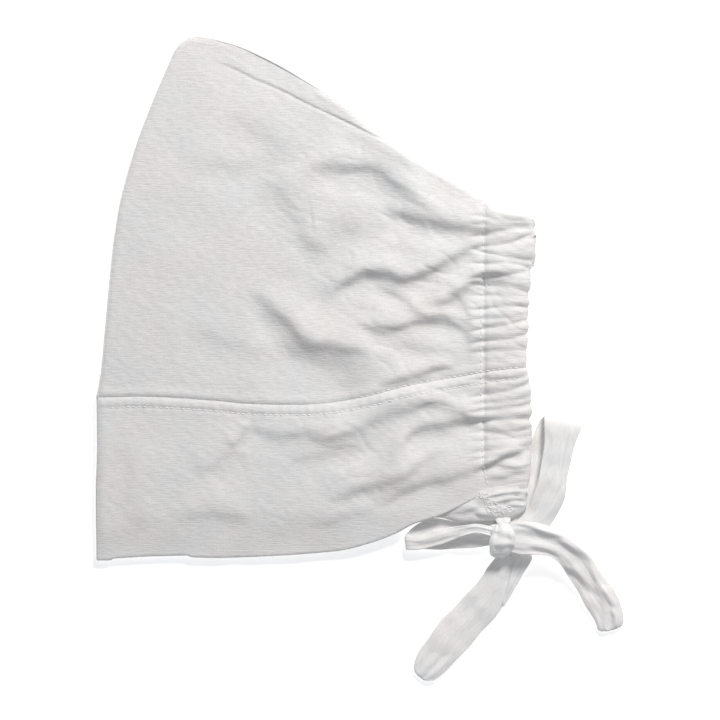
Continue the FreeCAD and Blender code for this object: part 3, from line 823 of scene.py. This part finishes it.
def seam_threads():
    upper = row(beside_seam(ROW_OFFSETS[1], FOLD_X + 7, HEM_X - 3), STITCH_PITCH, upper_height)
    # The first row sinks into the seam at the forehead and comes up towards the nape.
    upper += row(beside_seam(ROW_OFFSETS[0] - 1.4, 22, HEM_X - 3), STITCH_PITCH, upper_height)
    made = stitch_mesh("band_seam_stitches_left", upper, 2.0, 0.85, 0.8)
    stands_for(made, "band_seam_thread_left")
    lifts(made)

    lower = []
    for offset in ROW_OFFSETS:
        lower += row(beside_seam(offset, FOLD_X + 9, HEM_SEAM_X - 2), STITCH_PITCH, inside_band, sink=-0.05)
    made = stitch_mesh("band_seam_stitches_right", lower, 2.1, 0.6, 0.45)
    stands_for(made, "band_seam_thread_right", "cap")


LOWER_HEM_TOP = 2.4 + HEM_TURN + 0.1     # the lower hem's inner face


def hem_threads():
    line = [(HEM_SEAM_X + 0.5, 43.5), (HEM_SEAM_X - 0.3, 20), (HEM_SEAM_X - 1.2, -10),
            (HEM_SEAM_X - 1.4, -38), (HEM_SEAM_X - 1, -62), (HEM_SEAM_X, -84), (HEM_SEAM_X + 2, -93)]
    made = stitch_mesh("hem_stitches_left", row(line, STITCH_PITCH, upper_height), 1.9, 0.8, 0.8)
    stands_for(made, "hem_thread_left")
    lifts(made)

    def inside(x, y):
        return np.full(x.shape, LOWER_HEM_TOP)

    lower = row([(HEM_SEAM_X + 3, 36), (HEM_SEAM_X + 3, -30), (HEM_SEAM_X + 3, -100)], STITCH_PITCH, inside)
    made = stitch_mesh("hem_stitches_right", lower, 2.1, 0.6, 0.45)
    stands_for(made, "hem_thread_right", "cap")


# ---------------------------------------------------------------- the elastic and the seam allowance

def tape(name, points, width, thick, ceiling=None):
    """A flat strip that runs along Y through the given y, z points, centred on the hem."""
    line = curve(points, 80)
    middle = (HEM_SEAM_X + HEM_X) / 2
    ribs = np.linspace(-0.5, 0.5, 21)
    heading = np.gradient(line, axis=0)
    heading /= np.linalg.norm(heading, axis=1, keepdims=True)
    grid = np.zeros((len(line), len(ribs), 3))
    bulge = 0.12 * np.cos(ribs * 2 * math.pi * 7)
    for i, (y, z) in enumerate(line):
        grid[i, :, 0] = middle + ribs * width
        grid[i, :, 1] = y - heading[i][1] * bulge
        grid[i, :, 2] = z + heading[i][0] * bulge
    if ceiling is not None:
        grid[..., 2] = np.minimum(grid[..., 2], ceiling(grid[..., 0], grid[..., 1]))
    return sheet(name, grid, thick, elastic)


def nape_elastic():
    """One tape: a run in the lower hem and a run in the upper hem, which bends down to it at the top."""
    lower = tape("nape_elastic_lower_run", [(-100, 3.2), (-60, 3.2), (0, 3.2), (30, 3.2)], 18, 1.1)
    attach(lower, "cap")

    def under_hem(x, y):
        return upper_height(x, y) - JERSEY - 0.35

    upper = tape("nape_elastic_upper_run",
                 [(-88, 8.0), (-60, 8.0), (0, 8.0), (22, 7.9), (29, 6.4), (31.5, 4.6)], 17, 0.9, under_hem)
    lifts(upper)
    for piece in (lower, upper):
        stands_for(piece, "nape_elastic")


ALLOWANCE_Z = 2.35


def crown_allowance():
    """The overlocked allowance inside the crown: a low ribbon whipped with thread."""
    inner_line = curve(TOP_EDGE[1:17], 260)
    heading = np.gradient(inner_line, axis=0)
    heading /= np.linalg.norm(heading, axis=1, keepdims=True)
    inwards = np.column_stack([heading[:, 1], -heading[:, 0]])
    wave = 0.18 * np.sin(np.arange(len(inner_line)) * math.pi * 0.9)
    rows = [inner_line + inwards * (7.5 + share * 4.0) for share in np.linspace(0, 1, 6)]
    rise = ALLOWANCE_Z + wave[None, :] * np.linspace(0.3, 1, 6)[:, None]
    grid = np.dstack([np.array(rows), rise])
    ribbon = sheet("crown_seam_allowance", grid[::-1], 0.8, thread)
    stands_for(ribbon, "crown_seam_overlock", "cap")


# ---------------------------------------------------------------- the bow

RING_POINTS = 56


def tip_share(distance, tip):
    """Share of its full size that a strip has at this distance from an end rounded over tip."""
    return max(0.02, math.sqrt(1 - (1 - distance / tip) ** 2)) if distance < tip else 1.0


def strip(name, stations, steps, thick=2.0, bunch=0.0, waves=2.0, tips=(0, 0), seed=0, gather=None,
          creases=()):
    """A tie: a jersey tube pressed flat. Stations are x, y, z, width and the side direction's angle from +X,
    in degrees. bunch is the height of its lengthwise folds. tips rounds the start and the end."""
    path = curve(stations, steps)
    centre, width, compass = path[:, :3], path[:, 3], np.radians(path[:, 4])
    side = np.column_stack([np.cos(compass), np.sin(compass), np.zeros(steps)])
    heading = np.gradient(centre, axis=0)
    heading /= np.linalg.norm(heading, axis=1, keepdims=True)
    normal = np.cross(heading, side)
    normal /= np.linalg.norm(normal, axis=1, keepdims=True)
    length = np.concatenate([[0], np.cumsum(np.linalg.norm(np.diff(centre, axis=0), axis=1))])
    share = length / length[-1]
    rng = np.random.default_rng(seed)
    phase = rng.uniform(0, 6.28, 6)
    angle = np.linspace(0, 2 * math.pi, RING_POINTS, endpoint=False)
    across = squared(np.cos(angle), 0.75)
    through = squared(np.sin(angle), 0.55)
    rings, uv = [], []
    for i in range(steps):
        grow = min(tip_share(length[i], tips[0]), tip_share(length[-1] - length[i], tips[1]))
        strength = bunch if gather is None else bunch * gather(share[i])
        a = across / 2
        sway = 1.3 * math.sin(3 * share[i] + phase[1])
        folds = strength * (np.sin(2 * math.pi * waves * a + phase[0] + sway)
                            + 0.5 * np.sin(2 * math.pi * 2.3 * waves * a + phase[2] + 4 * share[i]))
        soft = 0.22 * math.sin(length[i] * 0.21 + phase[3]) + 0.14 * math.sin(length[i] * 0.47 + phase[4])
        edge = 1 + 0.025 * math.sin(length[i] * 0.33 + phase[5])
        ring = (centre[i] + np.outer(across * width[i] / 2 * edge * (0.35 + 0.65 * grow), side[i])
                + np.outer((through * thick / 2 + folds + soft) * grow ** 0.5, normal[i]))
        rings.append(ring)
        uv.append(np.column_stack([np.full(RING_POINTS, length[i]), across * width[i] / 2 + through * 2]))
    points = np.vstack(rings)
    x, y = points[:, 0], points[:, 1]
    points[:, 2] += creased(creases, x, y)
    faces = tube_faces(steps, RING_POINTS, False)
    faces.append(list(reversed(range(RING_POINTS))))
    faces.append(list(range((steps - 1) * RING_POINTS, steps * RING_POINTS)))
    made = make_mesh(name, points, faces, tie_jersey, np.vstack(uv))
    return made


KNOT_CREASES = [
    (0.9, 1.1, [(86, -117.6), (90, -117.4), (94, -119), (99, -122)]),
    (0.8, 1.1, [(87, -124), (92, -124.6), (96, -124), (100, -125)]),
    (0.6, 1.1, [(90, -113), (93, -115.4), (96, -118.4), (98, -121)]),
]


def knot():
    """The wrap: a flattened ring of cloth round the bundle, turned so that it runs from top left to
    bottom right."""
    steps, around = 72, 36
    turn = math.radians(13)
    along = np.array([math.cos(turn), math.sin(turn), 0])
    over = np.array([-math.sin(turn), math.cos(turn), 0])
    middle = np.array([KNOT[0] - 2.1, KNOT[1] - 0.7, KNOT[2]])
    rings, uv = [], []
    for i in range(steps):
        t = 2 * math.pi * i / steps
        reach = 7.3 * math.cos(t)
        rise = 5.6 * math.sin(t)
        centre = middle + over * reach + np.array([0, 0, rise])
        out = over * math.cos(t) * 0.85 + np.array([0, 0, math.sin(t)])
        out /= np.linalg.norm(out)
        width = 13.0 - 4.6 * smooth((math.cos(t) - 0.1) / 0.9) + 0.6 * math.sin(t)
        shift = 1.2 * math.cos(t)
        angle = np.linspace(0, 2 * math.pi, around, endpoint=False)
        across = squared(np.cos(angle), 0.8)
        through = squared(np.sin(angle), 0.7)
        dome = 1.9 * (1 - across ** 2)
        crease = (0.32 * np.sin(2.6 * math.pi * across + 0.8 + 0.9 * math.sin(t))
                  + 0.18 * np.sin(6.3 * math.pi * across + 2 * t))
        ring = (centre + np.outer(across * width / 2 + shift, along)
                + np.outer(through * 1.1 + dome + crease - 1.4, out))
        rings.append(ring)
        uv.append(np.column_stack([across * width / 2, np.full(around, t * 7.5)]))
    points = np.vstack(rings)
    upward = points[:, 2] > middle[2]
    points[:, 2] += upward * creased(KNOT_CREASES, points[:, 0], points[:, 1], 20)
    wrap = make_mesh("knot_wrap", points, tube_faces(steps, around, True), tie_jersey, np.vstack(uv))
    stands_for(wrap, "tie_knot", "knot")

    x, y = KNOT[:2]
    stations = [(x - 8, y + 0.5, 8, 11, 95), (x, y, 8.3, 13, 90), (x + 7.5, y - 0.4, 8.2, 12, 84)]
    core = strip("knot_core", stations, 24, thick=7.0, bunch=0.3, tips=(3, 3), seed=5)
    stands_for(core, "tie_knot", body="knot")


RIGHT_TAIL_CREASES = [
    (1.3, 1.7, [(96, -117.4), (103, -117.1), (109, -118.4), (116.5, -120.8), (121.4, -122.7), (126.3, -125.1),
                (131.2, -127.9), (135.5, -132), (138, -137)]),
    (1.2, 1.4, [(122, -134), (126, -136.4), (130, -138.7), (134.9, -143.6), (139.2, -148.5), (141, -153)]),
    (1.2, 1.0, [(97, -113.9), (105, -114.4), (113, -117.4), (120.6, -119.5), (126, -122)]),
    (1.1, 1.4, [(134.5, -131), (138, -139), (141, -147), (143, -156), (144.5, -166)]),
    (1.1, 1.2, [(141.7, -144), (145.5, -151), (150.5, -157.5)]),
    (1.2, 1.1, [(146, -155), (148.5, -160), (149, -167)]),
    (0.9, 1.2, [(104, -124.5), (111, -125.5), (118, -127.5), (123, -131)]),
]
LOWER_TAIL_CREASES = [
    (0.8, 1.8, [(97, -125), (95, -132), (89, -141)]),
    (0.6, 1.6, [(84, -150), (78, -158), (74, -166)]),
    (0.9, 1.2, [(62, -176), (56, -184), (52, -191)]),
    (0.9, 1.2, [(68, -178), (60, -186), (54, -192)]),
]
UPPER_LOOP_CREASES = [
    (0.6, 0.8, [(126.8, -60), (125, -72), (122.6, -86), (120, -98)]),
    (0.9, 1.6, [(122, -88), (117, -98), (110, -108), (104, -114)]),
    (0.8, 1.4, [(124, -92), (119, -102), (113, -110), (107, -116)]),
    (0.5, 1.5, [(116, -64), (117, -74), (114, -86)]),
]
MOUTH_LOOP_CREASES = [
    (0.5, 1.4, [(55, -111.8), (62, -113), (72, -114.6), (82, -115.6)]),
    (0.6, 1.2, [(68, -120), (76, -120.4), (84, -121.6), (90, -122)]),
    (0.5, 1.2, [(46, -122.6), (54, -122.8), (62, -121), (70, -118.6)]),
]


def ties():
    tail = strip("right_hand_tail", [
        (95, -120.4, 9.6, 11, 90), (98.5, -120.3, 11.4, 14.6, 90), (103, -120.3, 12.1, 16.4, 90),
        (109, -120.6, 12.0, 16.6, 88), (114, -121.6, 11.5, 15.0, 82), (118, -122.8, 10.8, 13.6, 76),
        (123, -126, 9.0, 13.4, 64), (130.4, -133.3, 5.6, 14.6, 42), (136.1, -141.7, 3.6, 15.2, 34),
        (142, -151, 2.3, 16.2, 28), (146.2, -159.3, 2.0, 15.4, 22), (147.6, -166.8, 1.9, 12.6, 14)],
        120, thick=2.2, bunch=0.22, waves=2.2, tips=(0, 2.4), seed=21, creases=RIGHT_TAIL_CREASES,
        gather=lambda share: 1.0 + 0.8 * smooth((share - 0.85) / 0.15))
    stands_for(tail, "left_tie_tail", body="left_tail")

    tail = strip("lower_left_tail", [
        (98.0, -124.0, 3.4, 10, -6), (99.4, -129.0, 3.6, 16, -14), (94.8, -137, 3.0, 16.4, -28),
        (88.8, -146, 2.4, 17.4, -38), (82.6, -154, 1.9, 18.2, -41), (76, -161.2, 1.7, 18.8, -44),
        (69.4, -168.4, 1.7, 19.0, -43), (64, -175, 1.7, 18.4, -40), (57.6, -182.9, 1.7, 16.2, -36),
        (52.2, -190.6, 1.7, 11.2, -35)],
        120, thick=2.0, bunch=0.16, waves=1.3, tips=(0, 4.4), seed=33, creases=LOWER_TAIL_CREASES,
        gather=lambda share: 0.7 + 2.2 * smooth((share - 0.84) / 0.16) + 0.9 * (1 - smooth(share / 0.3)))
    stands_for(tail, "right_tie_tail", body="right_tail")

    flap = strip("lower_left_tail_folded_edge", [
        (104.4, -127.4, 5.0, 5.2, -14), (104.6, -130.0, 5.4, 6.6, -20), (100.9, -137, 5.0, 5.8, -28),
        (97.8, -144, 4.2, 4.4, -32), (95.4, -149.6, 3.5, 3.0, -36), (93.2, -154.6, 2.9, 1.6, -38)],
        60, thick=1.2, bunch=0.12, waves=1.0, tips=(0, 2.5), seed=91)
    stands_for(flap, "right_tie_tail", body="right_tail")

    upper = strip("upper_loop", [
        (99, -117, 5.2, 8, -38), (103.5, -110, 4.6, 10, -30), (107.6, -100, 3.6, 12, -20),
        (111.4, -86, 3.0, 13.5, -12), (115.4, -72, 3.0, 15, -8), (119.6, -64.2, 3.4, 17.5, -9),
        (122.8, -61.9, 5.4, 19.2, -10), (123.5, -61.7, 6.4, 19.6, -10), (123.6, -62.6, 8.2, 19.6, -10),
        (122.4, -67.5, 9.2, 17.6, -9), (120.6, -77.6, 9.4, 14.4, -8), (118.6, -88, 9.3, 14.4, -10),
        (116.9, -97.5, 9.1, 15.0, -15), (114.2, -104.6, 8.4, 14.8, -22), (109.8, -112.4, 7.2, 13.4, -34),
        (104.4, -117, 6.8, 9, -40), (100, -118.6, 6.8, 7, -50)],
        170, thick=1.9, bunch=0.12, waves=1.2, seed=44, creases=UPPER_LOOP_CREASES,
        gather=lambda share: 0.6 + 1.6 * smooth((share - 0.8) / 0.2))
    stands_for(upper, "left_tie_loop", body="left_loop")

    side = strip("mouth_loop", [
        (89.8, -119.6, 5.4, 8, 90), (85.5, -119, 4.6, 11.0, 90), (75, -119.3, 3.0, 13, 91),
        (65, -118.9, 2.6, 14.8, 92), (57, -118.6, 2.6, 15.6, 92), (50.5, -120.2, 2.7, 12.6, 94),
        (46.4, -122.2, 3.0, 8.8, 96), (44.9, -123, 4.0, 7.0, 96), (46.2, -123.1, 5.1, 6.8, 96),
        (52.5, -122.9, 5.5, 6.8, 98), (60, -120.6, 5.9, 7.4, 106), (68, -118.2, 7.2, 6.6, 108),
        (75, -116.4, 8.6, 5.0, 104), (80.5, -115.6, 9.2, 4.4, 96), (88, -117.2, 9.0, 5.0, 92)],
        150, thick=1.5, bunch=0.14, waves=1.4, seed=55, creases=MOUTH_LOOP_CREASES,
        gather=lambda share: 0.5 + abs(2 * share - 1) ** 3 * 1.6)
    stands_for(side, "right_tie_loop", body="right_loop")


LOBE_CREASES = [
    (1.0, 1.1, [(84, -100.8), (90, -99.2), (96, -98.2), (106, -98)]),
    (1.1, 1.2, [(86, -103.8), (91, -102.8), (95, -101.8), (100, -101.2), (107, -102)]),
    (0.8, 1.0, [(78, -108.6), (86, -109.6), (92, -110.4)]),
    (0.7, 1.0, [(94, -105), (99, -104.4), (106, -105.2)]),
    (0.5, 1.3, [(66, -108.2), (74, -107.6), (82, -104.8)]),
]
LOBE_BOTTOM = [(60.5, -109.8), (67, -111.2), (73, -112.2), (81, -112.4), (88, -112), (94.5, -111.4),
               (98.6, -110.2)]
LOBE_RIGHT = [(98.6, -110.2), (102.6, -108.6), (105, -105.4), (105.4, -100), (104.8, -91)]
LOBE_TOP = [(62, -104), (72, -99.6), (81, -93.6), (88, -90), (96, -89), (104.8, -91)]
LOBE_LEFT = [(60.5, -109.8), (60, -107), (62, -104)]
# The lobe comes out from under the hem along the last gather.
LOBE_JOIN = [(56, -109), (62, -106.6), (71, -102.3), (80, -97.6), (86, -95.6), (93, -94.2), (100, -93),
             (108, -92.4)]
lobe_rim = np.vstack([curve(LOBE_BOTTOM, 40), curve(LOBE_RIGHT[:4], 40)[1:]])
lobe_join_line = curve(LOBE_JOIN, 50)


def lobe_height(x, y):
    """A soft puff that swells below the hem's end and lies lower towards the mouth."""
    left = smooth((90 - x) / 30)
    z = 10.1 - 2.1 * left + 0.3 * np.sin((x - 84) / 6.0) - 0.03 * np.maximum(-y - 100, 0) ** 1.5
    z += creased(LOBE_CREASES, x, y)
    z += 0.22 * ripples(x, y, 61, 6, -10, 60)
    above, _ = measure(lobe_join_line, x, y)
    flush = smooth((above + 5) / 5) * smooth((x - 78) / 8)
    z = z * (1 - flush) + (upper_height(x, y) + 0.12) * flush
    z -= 1.6 * smooth((above + 0.4) / 1.8) + 2.2 * smooth(above / 3) * smooth((88 - x) / 10)
    edge = 6.4 - 0.6 * left
    return edge + (z - edge) * rounded(distance(lobe_rim, x, y), 4.2)


def tie_roots():
    """The left root is the puffed, tacked end of the hem, drawn in below to a neck that enters the knot."""
    flat = coons(LOBE_BOTTOM, LOBE_TOP, LOBE_LEFT, LOBE_RIGHT, 60, 84)
    lobe = sheet("left_root_lobe", lift(flat, lobe_height), 0.8, root_jersey)
    neck = strip("left_root_neck", [(92, -105, 6.4, 10, 4), (92.6, -109, 6.8, 8.5, 4),
                                    (93.4, -112, 8.9, 7, 6), (93.6, -113.8, 10.6, 6, 6)], 24, thick=1.6,
                 bunch=0.15, tips=(2, 2), seed=66)
    neck.data.materials[0] = root_jersey
    for piece in (lobe, neck):
        stands_for(piece, "tie_root_left")
        hangs(piece)
    root = strip("right_root", [(95, -97, 3.2, 12, 0), (95, -104, 3.3, 11, 0), (95, -112, 4.0, 9, 0),
                                (95, -117, 5.0, 8, 0)], 30, thick=1.8, bunch=0.15, tips=(2, 2), seed=77)
    stands_for(root, "tie_root_right")
    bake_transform(root)


TACK_LOOPS = [((83.5, -99.6), 1.7), ((85.6, -102.2), 1.3), ((88.4, -104.0), 1.6), ((91.2, -105.8), 1.4),
              ((94.0, -106.4), 1.7), ((86.6, -106.2), 1.2), ((97.0, -106.2), 1.3), ((89.6, -108.2), 1.3)]


def squiggle(centre, radius, height, seed):
    """A sewn tack: a wandering loop of short stitches over a surface."""
    rng = np.random.default_rng(seed)
    places = []
    turns = np.arange(0, 2 * math.pi, 1.25 / radius)
    for k, turn in enumerate(turns):
        reach = radius * (1 + 0.28 * rng.normal())
        x = centre[0] + 1.25 * reach * math.cos(turn)
        y = centre[1] + 0.85 * reach * math.sin(turn)
        slant = turn + math.pi / 2 + (0.7 if k % 2 else -0.7) + rng.normal(0, 0.25)
        place, _, up = on_surface(np.array([[x, y], [x + 0.01, y]]), height)
        heading = np.array([math.cos(slant), math.sin(slant), 0.0])
        heading -= up[0] * heading.dot(up[0])
        places.append((place[0], heading, up[0]))
    return places


def tacks():
    places = []
    for seed, (centre, radius) in enumerate(TACK_LOOPS):
        places += squiggle(centre, radius, lobe_height, seed)
    made = stitch_mesh("elastic_tack_stitches_left", places, 1.9, 0.6, 0.8)
    stands_for(made, "elastic_tack_left")
    hangs(made)

    places = squiggle((75, -104.5), 1.6, inside_band, 10) + squiggle((79, -104.2), 1.4, inside_band, 11)
    made = stitch_mesh("elastic_tack_stitches_right", places, 1.8, 0.5, 0.5)
    stands_for(made, "elastic_tack_right", "cap")


# ---------------------------------------------------------------- the studio

KEY = ((0.42, 0.96, 0.92), 0.40, 17.5, (1.0, 0.985, 0.965))     # place, width, watts, colour
FILL = ((-1.2, -0.6, 1.3), 1.2, 4, (0.95, 0.97, 1.0))
EYE_HEIGHT = 2.2
VIEW_CENTRE = (0.022, -0.0318)
FIELD_WIDTH = 0.360          # what the camera takes in, at the table
SENSOR_WIDTH = 36


def placed(name, data):
    made = bpy.data.objects.new(name, data)
    bpy.context.scene.collection.objects.link(made)
    return made


def pale_floor():
    half, below = 4.0, -0.0003
    mesh = bpy.data.meshes.new("floor")
    corners = [(-half, -half, below), (half, -half, below), (half, half, below), (-half, half, below)]
    mesh.from_pydata(corners, [], [(0, 1, 2, 3)])
    material, _, shader = new_material("pale_floor")
    shader.inputs["Base Color"].default_value = (0.95, 0.95, 0.95, 1)
    shader.inputs["Roughness"].default_value = 0.9
    shader.inputs["Emission Color"].default_value = (1, 1, 1, 1)
    shader.inputs["Emission Strength"].default_value = 0.5
    mesh.materials.append(material)
    placed("floor", mesh)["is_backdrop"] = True


def lamp(name, middle, place, width, power, colour):
    light = bpy.data.lights.new(name, "AREA")
    light.shape = "DISK"
    light.size = width
    light.energy = power
    light.color = colour
    made = placed(name, light)
    made.location = middle + Vector(place)
    made.rotation_mode = "QUATERNION"
    made.rotation_quaternion = (-Vector(place)).to_track_quat("-Z", "Y")
    made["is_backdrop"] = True


def white_world():
    """Soft bluish light from all round, behind a backdrop that the camera sees as plain white."""
    world = bpy.data.worlds.new("studio")
    bpy.context.scene.world = world
    world.use_nodes = True
    tree = world.node_tree
    ambient = tree.nodes["Background"]
    ambient.inputs["Color"].default_value = (0.93, 0.955, 1.0, 1)
    ambient.inputs["Strength"].default_value = 0.28
    backdrop = node(tree, "ShaderNodeBackground", Color=(1, 1, 1, 1), Strength=1.0)
    choose = tree.nodes.new("ShaderNodeMixShader")
    tree.links.new(tree.nodes.new("ShaderNodeLightPath").outputs["Is Camera Ray"], choose.inputs["Fac"])
    tree.links.new(ambient.outputs["Background"], choose.inputs[1])
    tree.links.new(backdrop.outputs["Background"], choose.inputs[2])
    tree.links.new(choose.outputs["Shader"], tree.nodes["World Output"].inputs["Surface"])
    bpy.context.scene.view_settings.view_transform = "Standard"


def studio():
    low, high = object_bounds()
    pale_floor()
    lamp("key", (low + high) / 2, *KEY)
    lamp("fill", (low + high) / 2, *FILL)
    white_world()
    camera = bpy.data.cameras.new("camera")
    camera.sensor_width = SENSOR_WIDTH
    camera.lens = SENSOR_WIDTH * EYE_HEIGHT / FIELD_WIDTH
    eye = placed("camera", camera)
    eye.location = (*VIEW_CENTRE, EYE_HEIGHT)
    bpy.context.scene.camera = eye


crown_upper()
band_upper()
crown_lower()
band_lower()
seam_threads()
hem_threads()
nape_elastic()
crown_allowance()
tie_roots()
knot()
ties()
tacks()
studio()
